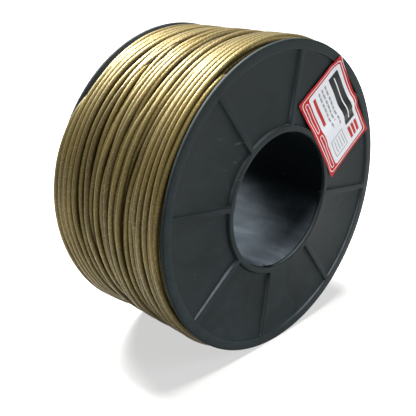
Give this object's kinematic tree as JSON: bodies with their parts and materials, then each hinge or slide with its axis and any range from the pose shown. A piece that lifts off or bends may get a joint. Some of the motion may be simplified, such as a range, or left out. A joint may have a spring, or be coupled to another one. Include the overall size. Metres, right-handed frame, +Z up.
{
  "type": "reel of plastic-coated wire rope",
  "caption": "Black moulded plastic reel lying on its rims, wound full with gold plastic-coated wire rope, with a paper label on one flange.",
  "frame": {"origin": "on the reel's axis, midway between the two flanges", "axes": "+Y along the reel's axis from the front flange to the back flange, +Z up, the front flange with the label faces -Y"},
  "size_m": [0.22, 0.1102, 0.22],
  "materials": {
    "reel_plastic": "satin",
    "rope_coating": "clear coating over twisted wires",
    "label_paper": "printed"
  },
  "bodies": {
    "root": {"front_flange": "reel_plastic", "back_flange": "reel_plastic", "barrel": "reel_plastic", "rope_winding": "rope_coating", "label": "label_paper"}
  },
  "joints": []
}
